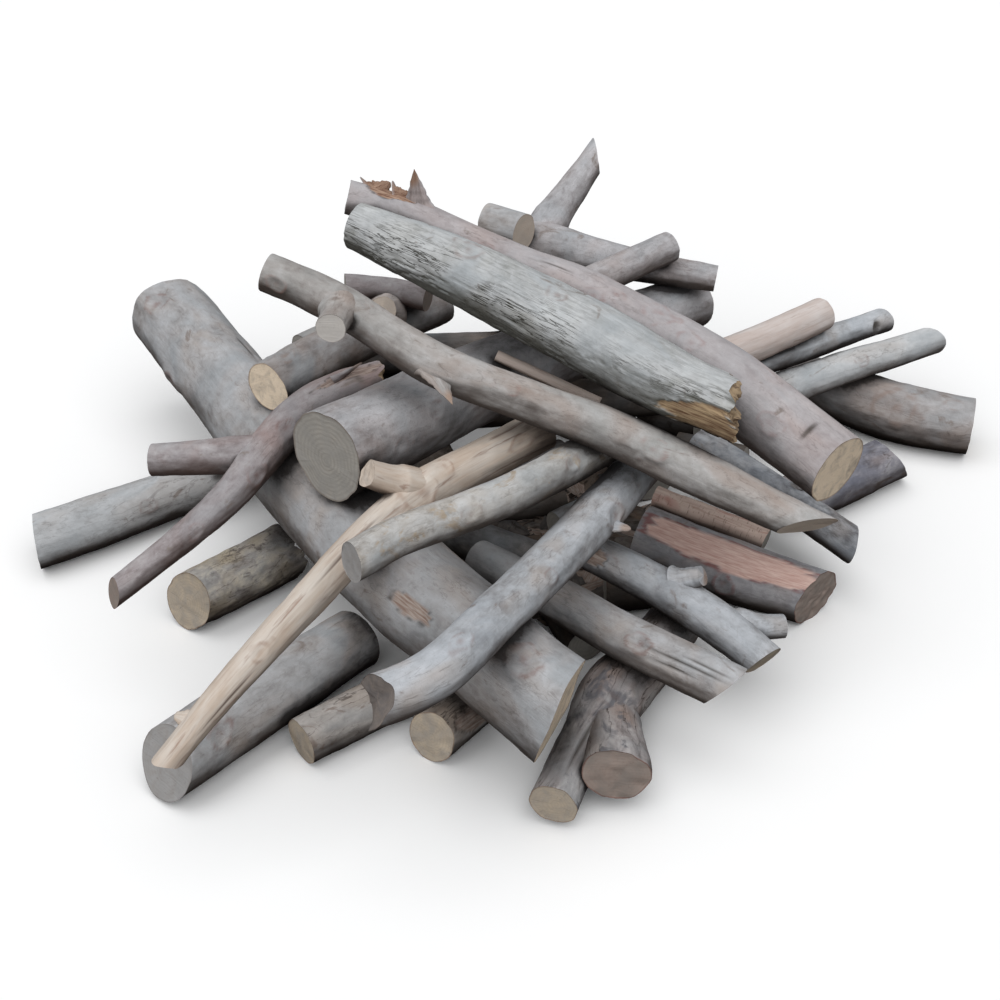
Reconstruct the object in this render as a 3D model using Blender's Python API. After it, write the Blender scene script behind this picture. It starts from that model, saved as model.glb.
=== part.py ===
# A loose heap of cut firewood, logs and branches laid over one another on flat ground.
# Every log is a faceted tube that follows a gently bent centre line. The logs are laid in order: each
# keeps its place on the plan and its own slope, and comes straight down until it touches the ground
# or a log already laid. Lengths in the tables are millimetres, angles are degrees.

import math
import random

import bpy
import numpy as np
from mathutils import Vector

mm = 0.001
sides = 12            # flats round every log
ringStep = 60.0       # spacing of the rings along a straight log
bentStep = 36.0       # spacing of the rings along a bent one
touchGap = 0.6        # air left where one log rests on another
scribeGap = 2.2       # air left where an arm is scribed to its stem
fullness = 0.985      # the widest corner of a ring as a share of the log's own radius
lumps = 0.025         # how far a ring falls short of round
sampleStep = 4.0      # spacing of the points that feel for contact
roughSaw = 7.0        # how far an ordinary end face strays from square

# base colours of the barks and of bare wood
woods = {
    "grey": (0.36, 0.36, 0.35),
    "blue": (0.24, 0.26, 0.29),
    "brown": (0.28, 0.24, 0.22),
    "pink": (0.40, 0.36, 0.35),
    "rough": (0.33, 0.33, 0.31),
    "mottled": (0.27, 0.25, 0.22),
    "red": (0.38, 0.22, 0.19),
    "peeled": (0.62, 0.53, 0.45),
}

pile = []


# One log: its two ends on the plan, its diameters at even steps from butt to tip, how far the tip is
# above the butt, bends as (share of the length, offset to the left, lift), and any end face that is
# sawn on a slant as (degrees from square, direction round the log that is cut back most: 0 is up, 90 left).
def log(name, wood, butt, tip, girth, rise=0, bends=(), buttCut=None, tipCut=None, arms=()):
    pile.append(dict(name=name, wood=wood, butt=butt, tip=tip, girth=girth, rise=rise, bends=bends,
                     buttCut=buttCut, tipCut=tipCut, arms=arms))


# An arm of a fork: where it leaves the stem as a share of the length, where its end is on the plan and
# how far above the fork, and its diameters at the fork and at the end.
def arm(name, at, tip, rise, girth, cut=None):
    return dict(name=name, at=at, tip=tip, rise=rise, girth=girth, cut=cut)


# --- lying on the ground, front to back ---
log("front_left_log", "grey", (-306, -304), (-139, -121), girth=(62, 68, 61), rise=-4, buttCut=(25, 0))
log("mottled_sawn_log", "mottled", (-322, -72), (-222, 22), girth=(61, 59), buttCut=(18, -30))
log("front_mottled_log", "mottled", (-181, -256), (-79, -176), girth=(43, 47))
log("front_tan_log", "mottled", (-66, -256), (4, -176), girth=(50, 47), buttCut=(16, -20))
log("root_log", "mottled", (47, -338), (183, -87), girth=(40, 44, 55, 62, 52), rise=5,
    bends=[(0.22, 9, 0), (0.44, 9, 0), (0.65, 9, 0)],
    arms=[arm("root_prong", 0.42, (101, -318), 14, (44, 54))])
log("ground_log_right", "brown", (70, 380), (170, 150), girth=(64, 60), rise=-2)
log("ground_log_left", "brown", (-150, 380), (-60, 120), girth=(64, 60), rise=-2)
log("dark_blue_log", "blue", (460, 203), (318, 109), girth=(50, 56, 55), buttCut=(30, 0))
log("right_thick_log", "blue", (555, 253), (353, 364), girth=(65, 73, 60), rise=5,
    bends=[(0.31, 15, 0), (0.61, 13, 0)])
log("left_log", "grey", (-500, 30), (-304, 164), girth=(58, 57), buttCut=(18, 90))
log("inner_dark_log", "blue", (-12, 158), (76, 200), girth=(50, 46))
log("inner_brown_log", "brown", (-58, 60), (42, 6), girth=(48, 46))
log("inner_mottled_log", "mottled", (86, -122), (58, -48), girth=(44, 42))
log("inner_right_log", "mottled", (205, 217), (283, 186), girth=(46, 44))
log("inner_back_log", "brown", (-8, 108), (72, 126), girth=(38, 38))
log("inner_lower_log", "mottled", (106, -38), (160, -32), girth=(38, 40))
log("inner_far_log", "brown", (168, 298), (238, 272), girth=(42, 42))

# --- the thickest log, and two laid across at the back ---
log("big_log", "grey", (-397, 371), (69, -318), girth=(97, 98, 101, 103, 92), rise=-16,
    bends=[(0.37, -20, 0), (0.67, -23, 0), (0.84, -13, 0)], tipCut=(30, 120))
log("cross_log_front", "brown", (-160, 200), (200, 240), girth=(48, 48))
log("cross_log_back", "brown", (-190, 325), (150, 345), girth=(48, 48))

# --- the right side ---
log("pink_split_log", "red", (333, -60), (150, 40), girth=(56, 66, 60), rise=8,
    bends=[(0.33, 6, 0), (0.68, 4, 0)], buttCut=(24, 90))
log("right_lower_log", "grey", (214, -262), (-20, -41), girth=(42, 45, 42), rise=-24,
    bends=[(0.33, 6, 0), (0.65, 2, 0)], buttCut=(38, 180))
log("right_fork_log", "grey", (247, -202), (91, -65), girth=(36, 43, 43, 42, 40), rise=24,
    bends=[(0.18, -8, 0), (0.4, -13, 0), (0.69, -11, 0)], buttCut=(20, 180),
    arms=[arm("right_fork_arm", 0.27, (270, -147), -5, (27, 23))])
log("blue_grey_log", "blue", (375, -16), (224, 171), girth=(38, 39, 36), rise=10, buttCut=(42, -107))
log("right_long_stick", "grey", (526, 352), (260, 210), girth=(34, 41, 41), rise=-10,
    bends=[(0.57, -3, 0)], buttCut=(35, -90))
log("notched_stick", "grey", (467, 365), (249, 234), girth=(29, 33, 29), rise=-5,
    bends=[(0.28, -4, 0)], buttCut=(25, -90))
log("back_peeled_slat", "peeled", (377, 319), (244, 218), girth=(37, 38), bends=[(0.45, 3, 0)])

# --- props inside the heap that carry the top of it ---
log("prop_log_left", "brown", (0, 390), (45, 255), girth=(44, 44))
log("prop_log_right", "brown", (75, 400), (80, 290), girth=(44, 44))
log("back_cross_log", "brown", (-25, 345), (98, 352), girth=(40, 40))
log("pale_back_log", "blue", (-225, 255), (-109, 378), girth=(41, 41))

# --- the logs that lean up to the right, over the thickest one ---
log("thick_sawn_log", "grey", (-164, -64), (223, 317), girth=(90, 81, 77, 72, 65), rise=-40,
    bends=[(0.18, 7, 0), (0.31, 14, 0), (0.6, 15, 0)])
log("tan_sawn_log", "brown", (-240, 91), (-70, 324), girth=(52, 51), rise=-30,
    bends=[(0.25, 7, 0), (0.53, 7, 0)], arms=[arm("sawn_knob", 0.62, (-126, 212), 46, (36, 31), (12, 0))])
log("reddish_back_log", "red", (-172, 256), (-78, 251), girth=(33, 31), rise=-10, bends=[(0.46, 9, 0)])
log("left_fork", "brown", (-371, -144), (-119, 81), girth=(26, 28, 35, 45, 36), rise=107,
    bends=[(0.22, -10, 9), (0.43, -8, 13), (0.58, 13, 9), (0.74, 27, 6), (0.88, 20, 3)], buttCut=(35, 0),
    arms=[arm("left_fork_arm", 0.58, (-351, 15), -21, (38, 31))])
log("back_fork_stem", "grey", (243, 274), (8, 359), girth=(28, 33, 39, 45, 46), rise=10,
    bends=[(0.3, 6, 0)], arms=[arm("back_fork_arm", 0.86, (121, 453), 72, (44, 26), (48, -110))])
log("back_small_log", "grey", (-14, 334), (28, 306), girth=(43, 42))
log("back_short_log", "brown", (188, 279), (42, 172), girth=(35, 38, 36), rise=-15)

# --- the bent branches over the front ---
log("hooked_branch", "grey", (-127, -339), (150, 23), girth=(38, 42, 45, 48, 47), rise=5,
    bends=[(0.02, -31, 22), (0.07, -55, 36), (0.19, -57, 36), (0.36, -47, 29), (0.56, -36, 20),
           (0.76, -21, 11)], buttCut=(56, -45))
log("peeled_fork", "peeled", (-277, -361), (44, -6), girth=(22, 31, 34, 40, 41), rise=101,
    bends=[(0.07, 1, 11), (0.23, 7, 22), (0.4, 17, 22), (0.55, 29, 16), (0.69, 30, 11), (0.82, 22, 6)],
    buttCut=(30, 180), arms=[arm("peeled_fork_stub", 0.715, (-121, -103), 34, (35, 26))])
log("curved_branch", "grey", (-127, -270), (104, -13), girth=(36, 39), rise=-50,
    bends=[(0.2, 6, 0), (0.39, -2, 0), (0.6, -8, 0), (0.82, -4, 0)], buttCut=(25, 90))
log("inner_grey_log", "grey", (59, 65), (138, 115), girth=(37, 35), rise=10)
log("ribbed_slat", "red", (166, 77), (279, 14), girth=(28, 27), rise=-10)
log("pale_twig", "peeled", (-4, 85), (101, 50), girth=(12, 12), rise=-35)

# --- the three long ones on top ---
log("long_grey_branch", "brown", (-225, 64), (304, -131), girth=(38, 42, 40, 44, 33), rise=-170,
    bends=[(0.12, 5, 0), (0.25, -13, 0), (0.35, -20, 0), (0.48, -8, 0), (0.62, 6, 0), (0.8, 3, 0)],
    tipCut=(52, -120), arms=[arm("sawn_stub", 0.14, (-156, -22), 11, (29, 27))])
log("long_pink_log", "pink", (-162, 236), (324, -68), girth=(36, 52, 63, 70, 71), rise=-140,
    bends=[(0.09, 21, 0), (0.33, 29, 0), (0.45, 39, 0), (0.69, 40, 0), (0.9, 14, 0)], tipCut=(7, -15))
log("top_bark_log", "rough", (-147, 188), (226, -71), girth=(47, 65, 69, 71, 57), rise=-65,
    bends=[(0.26, 7, 0), (0.53, 7, 0), (0.8, -4, 0)], tipCut=(25, 60))


# --- centre lines ---

# a smooth curve through the given points, with a radius carried along as the last column
def smoothCurve(points, fine=12):
    p = np.array(points, float)
    p = np.vstack([2 * p[0] - p[1], p, 2 * p[-1] - p[-2]])
    out = []
    for a, b, c, d in zip(p[:-3], p[1:-2], p[2:-1], p[3:]):
        for t in np.arange(fine) / fine:
            out.append(0.5 * (2 * b + (c - a) * t + (2 * a - 5 * b + 4 * c - d) * t * t
                              + (3 * b - a - 3 * c + d) * t ** 3))
    out.append(p[-2])
    return np.array(out)


def lengthsAlong(line):
    steps = np.linalg.norm(np.diff(line[:, :3], axis=0), axis=1)
    return np.concatenate([[0.0], np.cumsum(steps)])


def pointsAt(line, where):
    run = lengthsAlong(line)
    return np.stack([np.interp(where, run, column) for column in line.T], axis=1)


# how far an end face sawn on a slant reaches back along the log
def cutDepth(radius, cut):
    return 2 * radius * math.tan(math.radians(cut[0]))


# how much of a log is gone from all of its lower side where an end is sawn on a slant
def cutUnder(radius, cut):
    least = min(1 + math.cos(math.radians(way - cut[1])) for way in (135, 180, 225))
    return radius * least * math.tan(math.radians(cut[0]))


# stations for the rings: the two ends, and even steps between the deepest points of the two cuts
def ringStations(length, step, first, last):
    a, b = first + 5.0, length - last - 5.0
    count = max(1, math.ceil((b - a) / step))
    inner = [a + (b - a) * k / count for k in range(count + 1)]
    return [0.0] + inner + [length]


# the log's centre line in its own frame: along, left, up, radius
def centreLine(spec):
    a, b = np.array(spec["butt"], float), np.array(spec["tip"], float)
    reach = np.linalg.norm(b - a)
    points = [(0.0, 0.0, 0.0)]
    for share, left, lift in spec["bends"]:
        points.append((share * reach, left, share * spec["rise"] + lift))
    points.append((reach, 0.0, spec["rise"]))
    line = smoothCurve(points)
    run = lengthsAlong(line) / lengthsAlong(line)[-1]
    marks = np.linspace(0, 1, len(spec["girth"]))
    radius = np.interp(run, marks, np.array(spec["girth"]) / 2)
    return np.column_stack([line, radius])


# the frame of the log: its butt on the plan and the way it points
def logFrame(spec):
    dx, dy = spec["tip"][0] - spec["butt"][0], spec["tip"][1] - spec["butt"][1]
    heading = math.atan2(dy, dx)
    cosine, sine = math.cos(heading), math.sin(heading)
    turn = np.array([[cosine, -sine, 0.0], [sine, cosine, 0.0], [0.0, 0.0, 1.0]])
    return heading, turn, np.array([*spec["butt"], 0.0])


# --- solids ---

# the directions across a line at each of its points: upward and to the left
def crossAxes(line):
    ahead = np.gradient(line[:, :3], axis=0)
    ahead /= np.linalg.norm(ahead, axis=1)[:, None]
    left = np.cross([0.0, 0.0, 1.0], ahead)
    left /= np.linalg.norm(left, axis=1)[:, None]
    return ahead, left, np.cross(ahead, left)


# corner points of the rings, each ring a little out of round; an end ring slants with its cut
def ringCorners(line, buttCut, tipCut, chance):
    ahead, left, up = crossAxes(line)
    round0 = [2 * math.pi * k / sides for k in range(sides)]
    phase, twist = chance.uniform(0, 6.28), chance.uniform(-0.006, 0.006)
    run = lengthsAlong(line)
    rings = []
    for i, point in enumerate(line):
        ring = []
        for angle in round0:
            lump = 0.5 + 0.5 * math.sin(2 * angle + phase + twist * run[i])
            radius = point[3] * (fullness - lumps * lump - 0.01 * chance.random())
            across = radius * (math.cos(angle) * up[i] + math.sin(angle) * left[i])
            slide = 0.0
            for here, cut, way in ((0, buttCut, 1.0), (len(line) - 1, tipCut, -1.0)):
                if i == here:
                    turned = math.cos(angle - math.radians(cut[1]))
                    slide = way * point[3] * (1 + turned) * math.tan(math.radians(cut[0]))
            ring.append(point[:3] + across + slide * ahead[i])
        rings.append(ring)
    return rings


# a closed tube from its rings; a scribed foot closes on a point, a sawn one is flat
def tubeMesh(name, rings, foot=None):
    verts = [tuple(p * mm) for ring in rings for p in ring]
    faces = []
    for i in range(len(rings) - 1):
        for k in range(sides):
            a, b = i * sides + k, i * sides + (k + 1) % sides
            faces.append((a, a + sides, b + sides, b))
    last = (len(rings) - 1) * sides
    faces.append(tuple(reversed(range(last, last + sides))))
    if foot is None:
        faces.append(tuple(range(sides)))
    else:
        verts.append(tuple(foot * mm))
        faces.extend((len(verts) - 1, k, (k + 1) % sides) for k in range(sides))
    mesh = bpy.data.meshes.new(name)
    mesh.from_pydata(verts, [], faces)
    mesh.validate()
    return mesh


# gap between a point and the surface swept along a centre line
def clearance(point, line):
    a, b = line[:-1], line[1:]
    along = b[:, :3] - a[:, :3]
    share = ((point - a[:, :3]) * along).sum(1) / (along * along).sum(1)
    share = np.clip(share, 0, 1)
    near = a[:, :3] + share[:, None] * along
    radius = a[:, 3] + share * (b[:, 3] - a[:, 3])
    return float((np.linalg.norm(point - near, axis=1) - radius).min())


# slide a corner of an arm's foot down to the surface of the stem
def scribe(corner, ahead, stem, reach):
    here = reach
    while here > 0 and clearance(corner + ahead * (here - 1.0), stem) > scribeGap:
        here -= 1.0
    return corner + ahead * here


# the rings of an arm, its foot scribed to the stem
def armRings(spec, stem, frame, chance):
    heading, turn, origin = frame
    root = pointsAt(stem, [spec["at"] * lengthsAlong(stem)[-1]])[0]
    flat = turn.T @ (np.array([*spec["tip"], 0.0]) - origin)
    tip = np.array([flat[0], flat[1], root[2] + spec["rise"]])
    girth = spec["girth"]
    line = np.array([[*root[:3], girth[0] / 2], [*tip, girth[1] / 2]])
    length = lengthsAlong(line)[-1]
    line = pointsAt(line, ringStations(length, ringStep, 0, 0))
    cut = spec["cut"] or slightCut(chance)
    rings = ringCorners(line, (0, 0), cut, chance)
    ahead = (tip - root[:3]) / length
    reach = length * 0.9
    rings[0] = [scribe(p, ahead, stem, reach) for p in rings[0]]
    foot = scribe(root[:3].copy(), ahead, stem, reach)
    deepest = max(float((p - root[:3]) @ ahead) for p in rings[0])
    kept = [i for i in range(1, len(rings)) if lengthsAlong(line)[i] > deepest + 4.0]
    rings = [rings[0]] + [rings[i] for i in kept]
    start = float((foot - root[:3]) @ ahead)
    felt = pointsAt(line, np.arange(start + line[0][3] * 0.5, length + 0.1, sampleStep))
    return rings, foot, felt


# an ordinary end face, sawn nearly square
def slightCut(chance):
    return chance.uniform(0, roughSaw), chance.uniform(0, 360)


# --- laying the heap ---

# the height at which a log touches the ground or what is already laid
def settle(felt, laid):
    height = float((felt[:, 3] - felt[:, 2]).max())
    if len(laid):
        apart = ((felt[:, None, :2] - laid[None, :, :2]) ** 2).sum(2)
        reach = felt[:, None, 3] + laid[None, :, 3] + touchGap
        over = apart < reach ** 2
        level = laid[None, :, 2] + np.sqrt(np.maximum(reach ** 2 - apart, 0)) - felt[:, None, 2]
        height = max(height, float(np.where(over, level, -1e9).max()))
    return height


def barkMaterial(name, wood, chance):
    shade = chance.uniform(0.88, 1.1)
    material = bpy.data.materials.new("wood " + name.replace("_", " "))
    material.use_nodes = True
    shader = material.node_tree.nodes["Principled BSDF"]
    shader.inputs["Base Color"].default_value = [*(min(1.0, c * shade) for c in woods[wood]), 1.0]
    shader.inputs["Roughness"].default_value = 0.85
    return material


def place(name, mesh, wood, where, heading, parent, chance):
    item = bpy.data.objects.new(name, mesh)
    item.data.materials.append(barkMaterial(name, wood, chance))
    item.location = Vector(where) * mm
    item.rotation_euler = (0.0, 0.0, heading)
    item.parent = parent
    bpy.context.scene.collection.objects.link(item)
    return item


def layHeap():
    heap = bpy.data.objects.new("heap", None)
    bpy.context.scene.collection.objects.link(heap)
    laid = np.zeros((0, 4))
    corners = []
    for number, spec in enumerate(pile):
        chance = random.Random(100 + number)
        frame = logFrame(spec)
        heading, turn, origin = frame
        buttCut = spec["buttCut"] or slightCut(chance)
        tipCut = spec["tipCut"] or slightCut(chance)
        line = centreLine(spec)
        length = lengthsAlong(line)[-1]
        step = bentStep if len(spec["bends"]) > 1 else ringStep
        stations = ringStations(length, step, cutDepth(line[0][3], buttCut), cutDepth(line[-1][3], tipCut))
        line = pointsAt(line, stations)
        parts = [(spec["name"], ringCorners(line, buttCut, tipCut, chance), None)]
        first, last = cutUnder(line[0][3], buttCut), cutUnder(line[-1][3], tipCut)
        felt = [pointsAt(line, np.arange(first, length - last + sampleStep, sampleStep))]
        for side in spec["arms"]:
            rings, foot, touched = armRings(side, line, frame, chance)
            parts.append((side["name"], rings, foot))
            felt.append(touched)
        felt = np.vstack(felt)
        felt = np.column_stack([felt[:, :3] @ turn.T + origin, felt[:, 3]])
        height = settle(felt, laid)
        felt[:, 2] += height
        laid = np.vstack([laid, felt])
        where = origin + (0, 0, height)
        for name, rings, foot in parts:
            place(name, tubeMesh(name, rings, foot), spec["wood"], where, heading, heap, chance)
            corners.append(np.array([p for ring in rings for p in ring]) @ turn.T + where)
    low, high = np.vstack(corners).min(0), np.vstack(corners).max(0)
    heap.location = Vector((-(low[0] + high[0]) / 2, -(low[1] + high[1]) / 2, -low[2])) * mm


for item in list(bpy.data.objects):
    bpy.data.objects.remove(item)
layHeap()
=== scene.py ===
# The looks of a heap of cut gum tree firewood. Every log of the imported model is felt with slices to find
# its centre line, its thickness and its two end faces, and is grown again along them in bark and wood.
import math
import random

import bmesh
import bpy
import numpy as np
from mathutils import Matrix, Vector
from mathutils.bvhtree import BVHTree


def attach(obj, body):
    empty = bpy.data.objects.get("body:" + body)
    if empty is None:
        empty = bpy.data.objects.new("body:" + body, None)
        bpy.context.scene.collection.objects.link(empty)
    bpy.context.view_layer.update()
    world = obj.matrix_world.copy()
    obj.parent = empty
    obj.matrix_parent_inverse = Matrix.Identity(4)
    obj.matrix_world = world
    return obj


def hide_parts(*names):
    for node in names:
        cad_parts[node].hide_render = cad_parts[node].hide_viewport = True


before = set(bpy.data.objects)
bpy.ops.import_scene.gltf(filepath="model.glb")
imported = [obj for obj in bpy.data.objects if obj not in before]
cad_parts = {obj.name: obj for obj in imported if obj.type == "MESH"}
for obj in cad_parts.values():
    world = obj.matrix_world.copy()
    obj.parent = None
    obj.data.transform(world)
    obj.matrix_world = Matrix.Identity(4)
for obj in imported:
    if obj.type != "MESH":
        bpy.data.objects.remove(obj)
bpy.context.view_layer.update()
mm = 0.001
print("loaded", len(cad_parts), "packed logs")

# camera, floor and light: metres, degrees and plain light levels
stage = {
    "target": (-0.031, -0.044, 0.110),   # the middle of the heap, a third of the way up
    "distance": 1.55,
    "elevation": 36.0,
    "lens": 55.0,
    "sight": 30.0,                        # how far the camera sees
    "floorSize": 14.0,
    "floor": "#ffffff",
    "backdrop": "#ffffff",               # what the camera sees behind the floor
    "floorBounce": "#4b4540",            # what the logs get back from the floor: little, and warm
    "skyColour": "#f3f5f7",
    "skyLevel": 0.33,
    "keyLevel": 2.5,
    "keySpread": 100.0,                   # a big soft lamp: how wide it looks from the heap
    "keyHeight": 66.0,
    "keySide": -16.0,                     # from the front, towards the left
}

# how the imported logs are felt
feel = {
    "corners": 12,     # flats round every packed log
    "weld": 0.02,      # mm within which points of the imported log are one
    "level": 4.0,      # degrees within which the facets of an end make one face
    "round": 0.06,     # least area of an end for its rim's length squared
    "step": 10.0,      # mm between slices
    "clear": 1.0,      # mm kept between the last slice and the rim of the end
    "past": 4.0,       # mm that the line runs on past the end
    "even": 2.0,       # mm between the points of the finished centre line
    "soften": 70,      # passes that round its kinks
    "swell": 1.055,    # from the radius of the flats' area back to the log's own
}

# how sheltered each place on a log is, by the other logs and the ground: painted shade darkens it there
shelter = {
    "reach": 130.0,   # mm, the farthest that anything shelters a place
    "clear": 7.0,     # mm, where the rays start off the bark
    "rays": 28,
    "every": 4,       # points of the grid from one measured place to the next
    "ground": 0.9,    # how much the ground counts beside a log
}


# --- colours and nodes ---

def linear(hexColour):
    channels = [int(hexColour[i:i + 2], 16) / 255 for i in (1, 3, 5)]
    return [c / 12.92 if c <= 0.04045 else ((c + 0.055) / 1.055) ** 2.4 for c in channels] + [1.0]


# the colours of a look, turned by a log's own tint
def shades(look, tint=(1.0, 1.0, 1.0)):
    def shade(part):
        return [c * t for c, t in zip(linear(look[part]), (*tint, 1.0))]

    return shade


def addNode(tree, kind, inputs=None, **settings):
    node = tree.nodes.new("ShaderNode" + kind)
    for key, value in settings.items():
        setattr(node, key, value)
    for key, value in (inputs or {}).items():
        if isinstance(value, bpy.types.NodeSocket):
            tree.links.new(value, node.inputs[key])
        else:
            node.inputs[key].default_value = value
    return node


def perMm(size):
    return 1.0 / (size * mm)


def newMaterial(name):
    material = bpy.data.materials.new(name)
    material.use_nodes = True
    tree = material.node_tree
    return material, tree, tree.nodes["Principled BSDF"]


# colours laid over a first one in turn: each shows where its value goes from low to high, up to most
def layered(tree, colour, layers):
    for value, low, high, most, top in layers:
        share = addNode(tree, "MapRange", {0: value, 1: low, 2: high, 3: 0.0, 4: most}).outputs[0]
        colour = addNode(tree, "Mix", {0: share, 6: colour, 7: top}, data_type="RGBA").outputs[2]
    return colour


# a value with shares of others added to it
def summed(tree, value, others):
    for other, share in others:
        value = addNode(tree, "Math", {0: other, 1: share, 2: value}, operation="MULTIPLY_ADD").outputs[0]
    return value


# a mask made weaker or stronger by another value as that goes from low to high
def thinned(tree, mask, value, low, high, least, most):
    share = addNode(tree, "MapRange", {0: value, 1: low, 2: high, 3: least, 4: most}).outputs[0]
    return addNode(tree, "Math", {0: mask, 1: share}, operation="MULTIPLY").outputs[0]


# cloudy values about a size given in mm, in the log's own straight space
def clouds(tree, place, size, stretch=1.0, detail=3.0, warp=0.0, seed=0.0):
    moved = addNode(tree, "Mapping", {"Vector": place, "Location": (seed, seed * 0.7, seed * 1.3),
                                      "Scale": (1.0, 1.0, 1.0 / stretch)})
    return addNode(tree, "TexNoise", {"Vector": moved.outputs[0], "Scale": perMm(size), "Detail": detail,
                                      "Roughness": 0.6, "Distortion": warp}).outputs[0]


# thin wandering lines: 1 on the line, 0 beside it
def veins(tree, value, width):
    off = addNode(tree, "Math", {0: value, 1: 0.5}, operation="SUBTRACT").outputs[0]
    off = addNode(tree, "Math", {0: off}, operation="ABSOLUTE").outputs[0]
    return addNode(tree, "MapRange", {0: off, 1: width, 2: width * 0.25, 3: 0.0, 4: 1.0}).outputs[0]


# a point's place in the log's straight space, and the masks of what shows there
def skinPlaces(tree):
    grain = addNode(tree, "Attribute", attribute_name="grain").outputs["Vector"]
    marks = addNode(tree, "Attribute", attribute_name="marks").outputs["Vector"]
    return grain, addNode(tree, "SeparateXYZ", {0: marks}).outputs


# how far the skin faces up, from -1 to 1
def upward(tree):
    normal = addNode(tree, "NewGeometry").outputs["Normal"]
    return addNode(tree, "SeparateXYZ", {0: normal}).outputs[2]


# how deep the painted shade lies in the sheltered places, cloudy at its edge
def damp(tree, cloud):
    sheltered = addNode(tree, "Attribute", attribute_name="sheltered").outputs["Fac"]
    return summed(tree, sheltered, ((cloud, 0.5),))


# a material's colour, fine relief and dullness brought to its shader
def surface(tree, shader, colour, height, look):
    relief = look["relief"] * mm
    bump = addNode(tree, "Bump", {"Height": height, "Strength": look["bump"], "Distance": relief})
    tree.links.new(colour, shader.inputs["Base Color"])
    tree.links.new(bump.outputs[0], shader.inputs["Normal"])
    for label, part in (("Roughness", "roughness"), ("IOR", "ior"), ("Specular IOR Level", "specular")):
        shader.inputs[label].default_value = look[part]


# --- materials ---

# Smooth gum tree bark, seasoned outdoors for months: a dull skin bleached in soft clouds, with fine
# lengthwise wrinkles, small dark specks and short cross marks. Painted shade darkens it brown on the side
# turned down, and near-black where other logs and the ground shelter it.
gumBark = {
    "pale": "#bfc0c2",
    "mid": "#aba9a9",
    "dark": "#847f7d",
    "warm": "#ad9d90",        # the drift to a warmer hue
    "warmth": 0.5,
    "cool": "#98a0a5",        # the drift to a cooler one
    "coolness": 0.45,
    "patch": "#857a73",       # patches of older bark
    "patches": 0.08,
    "patchMm": 24.0,
    # painted shade, brown, on the side turned down
    "underShade": "#473c35",
    "underStart": 0.34,       # how far up the sides the painted underside shade comes
    "paintedShade": "#1f1815",       # painted shade in the sheltered places
    "paintedShading": 0.9,
    "line": "#4d443e",        # fine wandering cracks
    "lines": 0.22,
    "crack": "#3a332b",       # the floor of the deep furrows
    "scar": "#7c5d54",
    "scarred": 0.55,
    "bareLight": "#b9aba1",   # wood where the bark is torn off
    "bareDark": "#90796d",
    "cloudMm": 38.0,          # size of the bleached clouds
    "blotchMm": 8.0,          # size of the small blotches
    "softness": 0.34,         # how gently pale turns into dark
    "lineMm": 17.0,           # spacing of the wandering cracks
    "lineStretch": 4.0,
    "lineWidth": 0.014,       # as a share of their spacing
    "linesLow": 0.0,          # how much fewer of them show on top
    "smearMm": 7.0,           # width of the soft lengthwise streaks
    "smears": 0.15,
    "wrinkleMm": 1.6,         # spacing of the wrinkles, as coarse as it needs to show
    "wrinkles": 0.12,
    "markMm": 2.4,            # height of the short cross marks
    "marks": 0.18,
    "relief": 0.7,            # mm of fine relief
    "bump": 0.7,
    "roughness": 0.84,
    "ior": 1.45,
    "specular": 0.3,
}


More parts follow.
